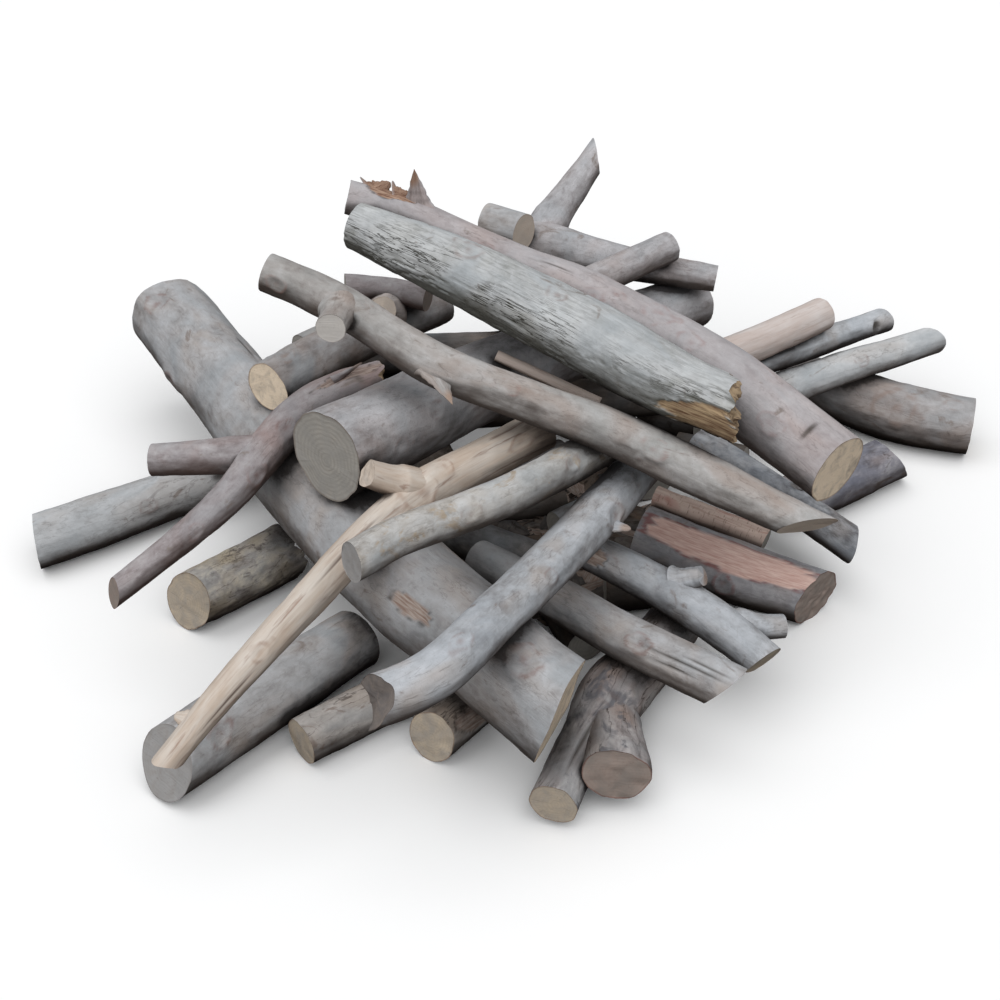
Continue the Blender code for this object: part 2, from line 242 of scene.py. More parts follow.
def barkMaterial(changes, piece, tint):
    look = {**gumBark, **changes}
    shade = shades(look, tint)
    material, tree, shader = newMaterial(look["name"] + "_" + piece)
    grain, (bare, scar, crack) = skinPlaces(tree)
    facing = upward(tree)
    cloud = clouds(tree, grain, look["cloudMm"], stretch=1.7, detail=4.0, warp=0.4)
    blotch = clouds(tree, grain, look["blotchMm"], stretch=1.4, detail=4.0, warp=0.5, seed=3.1)
    wrinkle = clouds(tree, grain, look["wrinkleMm"], stretch=11.0, detail=2.0, seed=5.7)
    mark = clouds(tree, grain, look["markMm"], stretch=0.25, detail=1.0, seed=8.2)
    drift = clouds(tree, grain, look["cloudMm"] * 1.6, stretch=1.5, detail=2.0, warp=0.8, seed=11.4)
    spot = clouds(tree, grain, look["patchMm"], stretch=1.6, detail=4.0, warp=1.2, seed=17.9)
    smear = clouds(tree, grain, look["smearMm"], stretch=9.0, detail=3.0, warp=0.3, seed=29.6)
    line = clouds(tree, grain, look["lineMm"], stretch=look["lineStretch"], detail=4.0, warp=0.4, seed=23.3)
    line = veins(tree, line, look["lineWidth"])
    line = thinned(tree, line, drift, 0.36, 0.56, 0.0, look["lines"])
    line = thinned(tree, line, facing, 0.95, 0.55, 1.0 - look["linesLow"], 1.0)

    tone = summed(tree, 0.0, ((cloud, 0.58), (blotch, 0.42)))
    ramp = addNode(tree, "ValToRGB", {"Fac": tone})
    stops = ramp.color_ramp.elements
    middle = 0.49   # the middle of the tones
    stops.new(middle)
    for stop, part, off in zip(stops, ("dark", "mid", "pale"), (-0.5, 0.0, 0.5)):
        stop.position = middle + off * look["softness"]
        stop.color = shade(part)
    edge = 0.66 - 0.3 * look["patches"]
    level = 0.55 + look["underStart"]
    torn = layered(tree, shade("bareLight"), ((wrinkle, 0.34, 0.66, 1.0, shade("bareDark")),))
    colour = layered(tree, ramp.outputs[0], (
        (drift, 0.5, 0.68, look["warmth"], shade("warm")),
        (drift, 0.5, 0.32, look["coolness"], shade("cool")),
        (spot, edge, edge + 0.09, 0.85, shade("patch")),
        (smear, 0.5, 0.7, look["smears"], shade("dark")),
        (smear, 0.5, 0.3, look["smears"], shade("pale")),
        (wrinkle, 0.48, 0.78, look["wrinkles"], shade("dark")),
        (mark, 0.63, 0.72, look["marks"], shade("line")),
        (line, 0.0, 1.0, 1.0, shade("line")),
        # painted shade, darker on the side turned down
        (summed(tree, facing, ((cloud, 1.1),)), level, level - 0.75, 0.88, shade("underShade")),
        (scar, 0.1, 0.9, look["scarred"], shade("scar")),
        (crack, 0.0, 1.0, 0.88, shade("crack")),
        (bare, 0.0, 1.0, 1.0, torn),
        # painted shade where other logs and the ground shelter the bark
        (damp(tree, blotch), 0.42, 0.86, look["paintedShading"], shade("paintedShade")),
    ))
    height = summed(tree, blotch, ((wrinkle, 0.7), (mark, -0.4), (line, -0.9)))
    surface(tree, shader, colour, height, look)
    return material


# Gum wood sawn across: flat and dull, growth rings round the pith, drying checks that run out from it,
# faint saw marks, and a thin darker rim of inner bark. Weathered ends have gone grey over the tan.
sawnGum = {
    # paler than the fresh wood itself: painted light for ends that face away from the lamp
    "light": "#f5e3cb",
    "ringColour": "#dfc6a6",
    "rim": "#7a5f4d",
    "grey": "#9a938a",
    "greyed": 0.15,
    "check": "#5b4a3d",
    "checks": 0.0,
    "ringMm": 3.0,       # growth ring spacing, as coarse as it needs to show
    "rings": 0.12,
    "sawMm": 1.6,        # saw mark spacing, as coarse as it needs to show
    "rimStart": 0.95,    # where the inner bark starts, as a share of the radius
    "rimmed": 0.6,
    "relief": 0.5,       # mm of fine relief
    "bump": 0.6,
    "roughness": 0.82,
    "ior": 1.5,
    "specular": 0.25,
}


def sawnMaterial(name, **changes):
    look = {**sawnGum, **changes}
    shade = shades(look)
    material, tree, shader = newMaterial(name)
    grain = addNode(tree, "Attribute", attribute_name="grain").outputs["Vector"]
    ring = addNode(tree, "Attribute", attribute_name="ring").outputs["Fac"]
    flat = addNode(tree, "Mapping", {"Vector": grain, "Scale": (1.0, 1.0, 0.0)}).outputs[0]
    rings = addNode(tree, "TexWave", {"Vector": flat, "Scale": perMm(look["ringMm"]) * math.tau / 20,
                                      "Distortion": 5.0, "Detail": 2.0, "Detail Scale": 0.6},
                    wave_type="RINGS", rings_direction="Z").outputs["Fac"]
    cloud = clouds(tree, grain, 15.0, detail=4.0, warp=0.6)
    speck = clouds(tree, grain, 2.5, detail=3.0)
    turned = addNode(tree, "Mapping", {"Vector": flat, "Rotation": (0, 0, 0.6), "Scale": (1.0, 0.05, 1.0)})
    saw = addNode(tree, "TexNoise", {"Vector": turned.outputs[0], "Scale": perMm(look["sawMm"]),
                                     "Detail": 2.0}).outputs[0]
    x, y = addNode(tree, "SeparateXYZ", {0: grain}).outputs[:2]
    angle = addNode(tree, "Math", {0: x, 1: y}, operation="ARCTAN2").outputs[0]
    spokes = addNode(tree, "TexNoise", {"W": angle, "Scale": 3.0, "Detail": 2.0},
                     noise_dimensions="1D").outputs[0]
    check = thinned(tree, veins(tree, spokes, 0.008), cloud, 0.42, 0.56, 0.0, look["checks"])

    edge = 0.70 - 0.5 * look["greyed"]
    start = look["rimStart"] + 0.03
    colour = layered(tree, shade("light"), (
        (rings, 0.2, 1.0, look["rings"], shade("ringColour")),
        (cloud, edge - 0.16, edge + 0.18, 0.85, shade("grey")),
        (saw, 0.5, 0.8, 0.22, shade("ringColour")),
        (speck, 0.6, 0.75, 0.3, shade("rim")),
        (check, 0.0, 1.0, 1.0, shade("check")),
        (summed(tree, ring, ((cloud, 0.06),)), start, start + 0.03, look["rimmed"], shade("rim")),
    ))
    surface(tree, shader, colour, summed(tree, saw, ((check, -1.5),)), look)
    return material


# Gum wood with its bark peeled or split off: bare fibres run along it, pale where they are clean and
# brown in long streaks where inner bark still clings, duller than planed wood.
bareGum = {
    "pale": "#d3c9be",
    "mid": "#c4b3a3",
    "streak": "#9a7d6c",
    "streaked": 0.4,
    # painted shade in the sheltered places, and how strong it is
    "paintedShade": "#2f211a",
    "paintedShading": 0.85,
    "red": "#a8605a",
    "reddened": 0.0,
    # painted shade on the side turned down
    "underShade": "#7a6252",
    "crack": "#4a3328",
    "crossCracks": 0.0,
    "fibreMm": 1.8,           # spacing of the fibres, as coarse as it needs to show
    "streakMm": 9.0,
    "relief": 0.6,            # mm of fine relief
    "bump": 0.7,
    "roughness": 0.72,
    "ior": 1.5,
    "specular": 0.3,
}


def bareMaterial(changes, piece, tint=(1.0, 1.0, 1.0)):
    look = {**bareGum, **changes}
    shade = shades(look, tint)
    material, tree, shader = newMaterial(look["name"] + "_" + piece)
    grain, (_, scar, crack) = skinPlaces(tree)
    fibre = clouds(tree, grain, look["fibreMm"], stretch=26.0, detail=3.0)
    streak = clouds(tree, grain, look["streakMm"], stretch=7.0, detail=4.0, warp=0.5, seed=4.4)
    cloud = clouds(tree, grain, 34.0, stretch=2.2, detail=3.0, warp=0.6, seed=9.1)
    if look["crossCracks"] > 0:
        across = clouds(tree, grain, 9.0, stretch=0.14, detail=3.0, warp=0.5, seed=19.5)
        crack = addNode(tree, "MapRange", {0: across, 1: 0.60, 2: 0.66, 3: 0.0,
                                           4: look["crossCracks"]}).outputs[0]
    tone = summed(tree, 0.0, ((cloud, 0.5), (streak, 0.5)))
    edge = 0.68 - 0.22 * look["streaked"]
    redEdge = 0.64 - 0.28 * look["reddened"]
    reddest = 0.85 if look["reddened"] > 0 else 0.0
    colour = layered(tree, shade("pale"), (
        (tone, 0.60, 0.42, 1.0, shade("mid")),
        (streak, edge, edge + 0.10, 0.75, shade("streak")),
        (fibre, 0.52, 0.75, 0.35, shade("streak")),
        (cloud, redEdge, redEdge + 0.12, reddest, shade("red")),
        (crack, 0.0, 1.0, 1.0, linear(look["crack"])),
        # painted shade, darker on the side turned down
        (upward(tree), 0.1, -0.6, 0.75, shade("underShade")),
        (scar, 0.1, 0.9, 0.85, shade("streak")),
        # painted shade where other logs and the ground shelter the wood
        (damp(tree, streak), 0.42, 0.86, look["paintedShading"], shade("paintedShade")),
    ))
    surface(tree, shader, colour, summed(tree, streak, ((fibre, 1.0), (crack, -1.2))), look)
    return material


barks = {
    "smoothGrey": dict(name="gum_bark_smooth_grey", softness=0.38, scarred=0.75),
    "paleGrey": dict(name="gum_bark_bleached", softness=0.42, pale="#c9cacb", mid="#b5b6b7", dark="#959392",
        warmth=0.25, lines=0.3),
    "blueWhite": dict(name="gum_bark_bleached_blue", pale="#c7c9cd", mid="#b1b3b6", dark="#868383",
        cool="#9da5ad", coolness=0.35, patch="#89817d", patches=0.12, patchMm=20.0, lines=0.28),
    "thickGrey": dict(name="gum_bark_grey_pinkish", pale="#c9c8ca", mid="#b1aeaf", dark="#878180",
        warm="#b09f99", warmth=0.4, marks=0.4),
    "pinkGrey": dict(name="gum_bark_pinkish", pale="#c3bebe", mid="#b2abab", dark="#988f8f", warm="#b29e97",
        warmth=0.45, coolness=0.25, scar="#8c5a50", scarred=0.4, lines=0.25, softness=0.4,
        bareLight="#b79a85", bareDark="#6b4a3a"),
    "brownGrey": dict(name="gum_bark_brown_grey", pale="#c0bdbb", mid="#a9a4a0", dark="#867e7a",
        warm="#a18d81", warmth=0.55, cool="#999e9d", coolness=0.4, scar="#84574b", underStart=0.4,
        bareLight="#b9a596", bareDark="#8f7565"),
    "cracked": dict(name="gum_bark_cracked", pale="#cdcfcf", mid="#b9baba", dark="#969794", warm="#bbb6aa",
        warmth=0.25, underShade="#55534a", underStart=0.42, lines=1.0, line="#403e37", lineMm=5.0,
        lineStretch=16.0, lineWidth=0.03, linesLow=0.75, wrinkles=0.35, crack="#66655c", marks=0.0,
        relief=1.2, bareLight="#b9a07f", bareDark="#715540", wrinkleMm=2.2),
    "redBrown": dict(name="gum_bark_purple_brown", pale="#b9b4b4", mid="#9d9595", dark="#7b706f",
        warm="#987d76", warmth=0.55, coolness=0.25, underStart=0.45, underShade="#4f3d36", scar="#785248",
        bareLight="#ab9b92", bareDark="#7c6960"),
    "tanBlotch": dict(name="gum_bark_grey_tan_blotched", pale="#d3d2d0", mid="#bebbb7", dark="#8f877f",
        patch="#ab9a85", patches=0.3, patchMm=26.0, lines=0.3, warm="#b0a28e", warmth=0.5),
    "mottled": dict(name="gum_bark_mottled", pale="#d9d0bf", mid="#b1aba5", dark="#7d7672", patch="#6a615c",
        patches=0.3, patchMm=15.0, blotchMm=7.0, cloudMm=26.0, lines=0.5, relief=1.2, warm="#c3b294",
        warmth=0.6, crack="#40352c", softness=0.26),
    "rooty": dict(name="gum_bark_root_mottled", pale="#c8c3c0", mid="#a09896", dark="#6b6462",
        patch="#67676c", patches=0.35, patchMm=28.0, warm="#aa9386", warmth=0.7, lines=0.9, relief=1.3,
        scar="#5d483e", softness=0.28),
    "tanGrey": dict(name="gum_bark_tan_grey", pale="#c8c0ba", mid="#ada59e", dark="#7c746f",
        patch="#85766c", patches=0.25, warm="#b09b87", warmth=0.55, lines=0.7),
    "blueDark": dict(name="gum_bark_slate_blue", pale="#afacae", mid="#8b888e", dark="#605d62",
        cool="#777a87", coolness=0.6, warm="#927d71", warmth=0.6, patch="#736661", patches=0.2, lines=0.7,
        softness=0.28),
    "slate": dict(name="gum_bark_slate_grey", pale="#babbbe", mid="#949598", dark="#5c5b5e", cool="#7c828a",
        softness=0.26, coolness=0.5, warm="#8e8076", warmth=0.4),
    "thickBrown": dict(name="gum_bark_grey_brown", pale="#b7b4b4", mid="#9e9997", dark="#7c7471",
        warm="#a18f84", warmth=0.55, scar="#8a7164"),
    "redPatch": dict(name="gum_bark_split_red", pale="#aeacad", mid="#8f8c8e", dark="#656162",
        bareLight="#dcc0b4", bareDark="#c49d92", scar="#7c3d36", scarred=0.95, crack="#82423a", warmth=0.4),
    # dark barks for the logs deep inside the heap, darkened partly as painted shade
    "damp": dict(name="gum_bark_in_shade", pale="#7d756e", mid="#5c544e", dark="#3b342f", underShade="#2c251f",
        warm="#66513f", warmth=0.6, cool="#565a5e", line="#231d18", patch="#37302b", patches=0.3),
    "dampGrey": dict(name="gum_bark_in_shade_grey", pale="#8c8a89", mid="#6e6b6a", dark="#4a4645",
        underShade="#332d28", line="#2b2623"),
}

bareWoods = {
    "peeled": dict(name="gum_wood_peeled"),
    "peeledPink": dict(name="gum_wood_peeled_pinkish", pale="#d6cdc8", mid="#c9bab2", streak="#9c8477",
        streaked=0.3),
    "ribbed": dict(name="gum_wood_cross_cracked", pale="#d0bcaf", mid="#b69f93", streak="#835f52",
        red="#9a5a50", reddened=0.3, crossCracks=0.5),
    # paler than the wood and with less painted shade: painted light where the sliver lies in a crevice
    "twig": dict(name="gum_wood_sliver", pale="#e0d2c8", mid="#cdb9ac", paintedShading=0.3),
}

ends = {
    "fresh": sawnMaterial("gum_wood_sawn"),
    "dull": sawnMaterial("gum_wood_sawn_dulled", light="#cbbca7", ringColour="#ab9a85", greyed=0.45,
        grey="#aea69d", rings=0.25, checks=0.25),
    "grey": sawnMaterial("gum_wood_sawn_weathered", light="#b0aba3", ringColour="#8d877f", greyed=0.6,
        grey="#a19e99", rim="#7b6f66", check="#5e564f", checks=0.2, rings=0.6, ringMm=4.5),
    "pale": sawnMaterial("gum_wood_sawn_bleached", light="#c9c4be", ringColour="#b4aea7", greyed=0.5,
        grey="#c0bcb8", rings=0.25, rim="#958d88"),
    "red": sawnMaterial("gum_wood_sawn_reddish", light="#a6968d", ringColour="#8b766c", greyed=0.4,
        grey="#8f8781", rim="#6f463d"),
    "barkish": sawnMaterial("gum_wood_sawn_grey_as_bark", light="#9d9996", ringColour="#857d78", greyed=0.6,
        grey="#a6a5a5", rim="#6c625c", rings=0.25, rimmed=0.2),
    "stained": sawnMaterial("gum_wood_sawn_stained", light="#8f857e", ringColour="#6e655e", greyed=0.5,
        grey="#75706f", rim="#463b36", rings=0.15, rimmed=0.4),
    "peeled": sawnMaterial("gum_wood_sawn_with_its_bark_off", light="#cdbfb1", ringColour="#b9a799",
        greyed=0.3, grey="#c2b8ae", rim="#a58e7f", rings=0.2, rimmed=0.2),
    "torn": bareMaterial(dict(name="gum_wood", pale="#b5a083", mid="#917b62", streak="#57453a",
        streaked=0.7, fibreMm=2.4, streakMm=5.0), "torn"),
}
print("made", len(ends), "materials for the ends")


def end(wood, jag=0.0, saw=0.3, pith=0.12, dish=0.3):
    return {"wood": ends[wood], "jag": jag, "saw": saw, "pith": pith, "dish": dish}


# a spike or stub: where it stands as a share of the length and in degrees from the top to the front,
# its size in mm, how it leans ahead in degrees, and its tip's width and bare part as shares
def snag(share, degrees, length, width, lean=0, tip=0.1, bared=0.0, flat=0.5, rough=0.05):
    return {"share": share, "degrees": degrees, "length": length, "width": width, "lean": lean, "tip": tip,
            "bared": bared, "flat": flat, "rough": rough}


# --- soft random bumps ---

# the kinds of unevenness: size in mm round the log and along it, how many sizes together, and own seed
uneven = {
    "lobes": (1.0, 1.0, 2, 15),
    "slow": (60.0, 85.0, 2, 20),
    "dimples": (11.0, 20.0, 3, 30),
    "wrinkles": (3.2, 38.0, 2, 40),
    "bendX": (24.0, 34.0, 2, 50),
    "bendY": (24.0, 34.0, 2, 51),
    "bendZ": (24.0, 34.0, 2, 52),
    "ridge": (6.5, 105.0, 2, 60),
    "heavy": (40.0, 90.0, 1, 61),
    "edge": (5.0, 30.0, 3, 70),
    "wobble": (9.0, 12.0, 2, 75),
    "broken": (6.0, 9.0, 2, 77),
    "fibres": (2.6, 60.0, 2, 80),
    "strayUp": (1.0, 70.0, 2, 90),
    "strayFront": (1.0, 85.0, 2, 91),
    "saw": (9.0, 1.0, 2, 0),
    "torn": (7.0, 1.0, 2, 5),
    "tornBroad": (20.0, 1.0, 1, 9),
}

# big odd numbers that scatter whole-number places into chance values
scatter = {"place": (73856093, 19349663, 83492791), "seed": 7919, "stir": 2246822519, "again": 3266489917}


# smooth values between -1 and 1 at points given in bumps, one value at every whole number
def softNoise(points, seed):
    cell = np.floor(points).astype(np.int64)
    share = points - cell
    share = share * share * (3 - 2 * share)
    value = np.zeros(len(points))
    for corner in range(8):
        step = np.array([corner & 1, corner >> 1 & 1, corner >> 2 & 1])
        key = (cell + step) @ np.array(scatter["place"]) + seed * scatter["seed"]
        key = ((key ^ (key >> 15)) * scatter["stir"]) & 0xffffffff
        key = ((key ^ (key >> 13)) * scatter["again"]) & 0xffffffff
        chance = ((key ^ (key >> 16)) & 0xffff) / 32767.5 - 1
        value += chance * np.prod(np.where(step == 1, share, 1 - share), axis=1)
    return value


# several sizes of one kind of bump together, each half as big and half as high as the one before
def bumps(kind, points, seed):
    around, along, octaves, own = uneven[kind]
    scaled = points / np.array([around, around, along])
    total = np.zeros(len(points))
    weight = 1.0
    for octave in range(octaves):
        total += weight * softNoise(scaled * 2 ** octave + 11.3 * octave, seed + own + octave)
        weight *= 0.5
    return total / (2 - 2 * weight)


def smoothStep(low, high, value):
    share = np.clip((value - low) / (high - low), 0, 1)
    return share * share * (3 - 2 * share)


# a soft hill: 1 at the middle, falling away within about a spread
def hill(off, middle, spread):
    return np.exp(-((off - middle) / spread) ** 2)


def unit(vector):
    return vector / np.linalg.norm(vector)


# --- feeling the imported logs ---

def packedLog(name):
    solid = bmesh.new()
    solid.from_mesh(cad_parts[name].data)
    bmesh.ops.remove_doubles(solid, verts=solid.verts, dist=feel["weld"] * mm)
    solid.verts.index_update()
    points = np.array([v.co for v in solid.verts]) / mm
    edges = np.array([[v.index for v in e.verts] for e in solid.edges])
    bmesh.ops.dissolve_limit(solid, angle_limit=math.radians(feel["level"]), verts=[], edges=solid.edges)
    caps = [np.array([v.co for v in face.verts]) / mm for face in solid.faces
            if len(face.verts) >= feel["corners"] - 2
            and face.calc_area() > feel["round"] * face.calc_perimeter() ** 2]
    solid.free()
    return points, edges, caps


# middle and radius of the section of a solid by a plane across the way ahead
def section(points, edges, at, ahead):
    height = (points - at) @ ahead
    a, b = edges.T
    crossed = (height[a] < 0) != (height[b] < 0)
    a, b = a[crossed], b[crossed]
    share = height[a] / (height[a] - height[b])
    ring = points[a] + share[:, None] * (points[b] - points[a])
    side = unit(np.cross(ahead, [0.0, 0.0, 1.0]))
    up = np.cross(side, ahead)
    flat = np.column_stack([(ring - at) @ side, (ring - at) @ up])
    turn = flat - flat.mean(0)
    flat = flat[np.argsort(np.arctan2(turn[:, 0], turn[:, 1]))]
    after = np.roll(flat, -1, axis=0)
    twice = flat[:, 0] * after[:, 1] - after[:, 0] * flat[:, 1]
    middle = ((flat + after) * twice[:, None]).sum(0) / (3 * twice.sum())
    return at + middle[0] * side + middle[1] * up, math.sqrt(abs(twice.sum()) / 2 / math.pi)


# slices from the middle of a log to one end: the line, and the end face as a point and a normal
def walk(points, edges, caps, start, ahead):
    here, radius = section(points, edges, start, ahead)
    line = [[*here, radius]]
    onward = [cap for cap in caps if (cap.mean(0) - here) @ ahead > 0]
    while True:
        reach = (points - here) @ ahead
        ring = onward[0] if onward else points[np.argsort(reach)[-feel["corners"]:]]
        if ((ring - here) @ ahead).min() < feel["step"] + feel["clear"]:
            break
        there, radius = section(points, edges, here + ahead * feel["step"], ahead)
        ahead = unit(ahead + unit(there - here))
        here = there
        line.append([*here, radius])
    left = ring.mean(0) - here
    if np.linalg.norm(left) > 2 * feel["step"]:   # a slanted end: the line aims at its middle
        ahead = unit(left)
    normal = np.linalg.svd(ring - ring.mean(0))[2][2]
    normal *= np.sign(normal @ ahead)
    for k in range(1, math.ceil((reach.max() + feel["past"]) / feel["step"]) + 1):
        line.append([*(here + ahead * feel["step"] * k), radius])
    return line, (ring.mean(0), normal)


def runAlong(line):
    return np.concatenate([[0], np.cumsum(np.linalg.norm(np.diff(line[:, :3], axis=0), axis=1))])


def evenLine(line):
    line = np.array(line)
    run = runAlong(line)
    marks = np.linspace(0, run[-1], max(8, int(run[-1] / feel["even"])))
    line = np.column_stack([np.interp(marks, run, column) for column in line.T])
    for _ in range(feel["soften"]):
        line[1:-1] = (line[:-2] + 2 * line[1:-1] + line[2:]) / 4
    return line


# a log's centre line from its left end, or from its foot for an arm, and its two end faces
def feelLog(name, stem):
    points, edges, caps = packedLog(name)
    middle = points.mean(0)
    ahead = np.linalg.svd(points - middle, full_matrices=False)[2][0]
    if ahead[0] < 0:
        ahead = -ahead
    if stem is not None:
        toStem = stem[:, :3] - middle
        nearest = toStem[np.argmin((toStem ** 2).sum(1))]
        ahead = ahead if nearest @ ahead < 0 else -ahead
    back, startFace = walk(points, edges, caps, middle, -ahead)
    on, endFace = walk(points, edges, caps, middle, ahead)
    return evenLine(back[:0:-1] + on), startFace, endFace


# how an arm grows out of its stem
armFoot = {
    "aim": 8,        # points of the arm's line that say which way it points
    "near": 2.0,     # mm, the stem's heart lies at least this far behind the foot
    "upright": 0.2,  # how much a near heart is liked better than one straight behind
    "spread": 1.2,   # how far up the arm its thick foot goes, in radii of the arm
    "most": 0.95,    # the thickest foot, as a share of the stem's radius
    "inside": 0.7,   # the arm's radius at the stem's heart, as a share of the stem's
}


# an arm's line carried on to the heart of its stem, and thickened where it grows out of it
def sinkFoot(line, stem, flare):
    outward = unit(line[armFoot["aim"], :3] - line[0, :3])
    depth = (line[0, :3] - stem[:, :3]) @ outward
    miss = np.linalg.norm(line[0, :3] - depth[:, None] * outward - stem[:, :3], axis=1)
    miss = miss + armFoot["upright"] * depth + 1e3 * (depth < armFoot["near"])
    heart = stem[np.argmin(miss)]
    reach = np.linalg.norm(line[0, :3] - heart[:3])
    shares = np.linspace(0, 1, max(4, int(reach / feel["even"])))[:-1, None]
    lead = heart[:3] + shares * (line[0, :3] - heart[:3])
    lead = np.column_stack([lead, np.full(len(lead), line[0, 3])])
    line = np.vstack([lead, line])
    run = runAlong(line)
    base = line[:, 3].copy()
    swollen = base * (1 + flare * hill(np.clip(run - reach, 0, None), 0.0, base * armFoot["spread"]))
    swollen = np.minimum(swollen, np.maximum(base, heart[3] * armFoot["most"]))
    inside = np.clip(run / reach, 0, 1)
    thin = heart[3] * armFoot["inside"] * (1 - inside) + swollen * inside
    line[:, 3] = np.where(run < reach, thin, swollen)
    return line


# --- growing a log ---

# what a log has unless its look says otherwise
plainLog = {
    "tint": (0.99, 1.0, 1.015),    # this log's own turn of the bark's colours
    "left": end("grey"),   # of an arm, this end is inside its stem
    "right": end("grey"),
    "stem": None,          # the log that this one is an arm of
    "flare": 0.5,          # how much thicker an arm's foot is
    "swells": 0.045,       # slow thick and thin places, as a share of the radius
    "oval": 0.07,          # how far from round
    "lobes": 0.075,        # broad flats and ribs round it, as a share of the radius
    "wander": 1.3,         # mm that its heart strays from the middle line
    "dimples": 0.7,        # mm, uneven skin
    "wrinkles": 0.3,       # mm, fine lengthwise wrinkles
    "furrows": 0.0,        # mm, long cracks in old bark
    "knots": (),           # (share of the length, degrees from the top to the front, size, height)
    "burls": (),           # broad swellings: (share, degrees, size, height)
    "bare": (),            # torn patches: (share, degrees, length, width)
    "ragged": 0.5,         # how uneven their edges are
    "barkThick": 1.6,      # mm that the bare wood lies deeper
    "cuts": (),            # grooves: (share, degrees, length along, width, depth)
    "snags": (),           # broken spikes and stubs
}

# what all skins have alike
skinShape = {
    "columns": (24, 200),   # the fewest and the most points round a log
    "rows": 6,              # the fewest rows of them along it
    "apart": 13.7,          # mm between the places that two logs' bumps are drawn from
    "ovalTurn": 120.0,      # mm along a log over which its oval turns a little
    "lobeSize": 1.4,        # how many lobes stand round a log
    "lobeTurn": 160.0,      # mm along it over which they change
    "bend": 2.0,            # how far the furrows bend aside
    "knotLong": 1.4,        # the length of knots and burls for their width
    "burlLong": 1.3,
    "knotRing": 0.85,       # where the raised ring of a knot stands, as a share of its size
    "strayCut": 2.0,        # how far grooves stray sideways
    "fibres": 0.6,          # mm of relief on torn wood
}

lines = {}   # each grown log's centre line, for the arms that leave it
skinSlot, leftSlot, rightSlot = 0, 1, 2   # a log's materials
onSkin = 1.5   # what a point off the end faces has for its ring
sharp = 50.0   # degrees between faces from which an edge looks sharp


# directions across a line at each of its points: upward, and level towards the front
def across(line):
    ahead = np.gradient(line[:, :3], axis=0)
    ahead /= np.linalg.norm(ahead, axis=1)[:, None]
    front = np.cross(ahead, [0.0, 0.0, 1.0])
    front /= np.linalg.norm(front, axis=1)[:, None]
    front *= -np.sign(front[:, 1].mean())
    up = np.cross(front, ahead)
    up *= np.sign(up[:, 2].mean())
    return ahead, up, front


# angles evenly round a tube
def anglesRound(columns):
    return np.arange(columns) * 2 * math.pi / columns


# how far an end face stands out at places across it, in mm
def endRelief(flat, look, seed):
    points = np.column_stack([flat, np.zeros(len(flat))])
    relief = look["saw"] * bumps("saw", points, seed)
    if look["jag"] > 0:
        fibres = bumps("torn", points, seed) + 0.9 * bumps("tornBroad", points, seed)
        relief = relief + look["jag"] * np.abs(fibres) ** 1.2 * np.sign(fibres)
    return relief


# one log: its line is felt, its skin is cut to its end faces and laid, and its body is made from both
def growLog(name, changes):
    look = {**plainLog, **changes}
    seed = sum(name.encode()) % 997
    stem = lines.get(look["stem"])
    line, startFace, endFace = feelLog(name, stem)
    if stem is not None:
        line = sinkFoot(line, stem, look["flare"])
    lines[name] = line
    run = runAlong(line)
    ahead, up, front = across(line)

    girth = 2 * math.pi * line[:, 3].max() * feel["swell"]
    columns = int(np.clip(girth / look["grid"], *skinShape["columns"]))
    angles = anglesRound(columns)
    starts = np.zeros(columns)
    stops = np.full(columns, run[-1])
    for at, face, limits in ((0, startFace, starts), (-1, endFace, stops)):
        if at == 0 and stem is not None:
            continue
        point, normal = face
        ending = look["left" if at == 0 else "right"]
        mark = np.argmin(np.linalg.norm(line[:, :3] - point, axis=1))
        radius = line[mark, 3] * feel["swell"]
        rim = radius * (np.cos(angles)[:, None] * up[mark] + np.sin(angles)[:, None] * front[mark])
        outward = -ahead[mark] if at == 0 else ahead[mark]
        reach = ((point - line[mark, :3] - rim) @ normal) / (outward @ normal)
        if ending["jag"] > 0:
            flat = radius * np.column_stack([np.cos(angles), np.sin(angles)])
            reach = reach + endRelief(flat, ending, seed + at)
        limits[:] = run[mark] + (reach if at == -1 else -reach)
    starts = np.clip(starts, 0, run[-1])
    stops = np.clip(stops, 0, run[-1])
    rows = max(skinShape["rows"], int((stops.mean() - starts.mean()) / look["grid"]))
    shares = np.linspace(0, 1, rows + 1)[:, None]
    place = starts + shares * (stops - starts)
    skin = layBark(look, line, run, place, angles, seed)
    makeBody(name, look, skin, (ahead, up, front), line, run, seed)


def wrap(angle):
    return (angle + math.pi) % (2 * math.pi) - math.pi


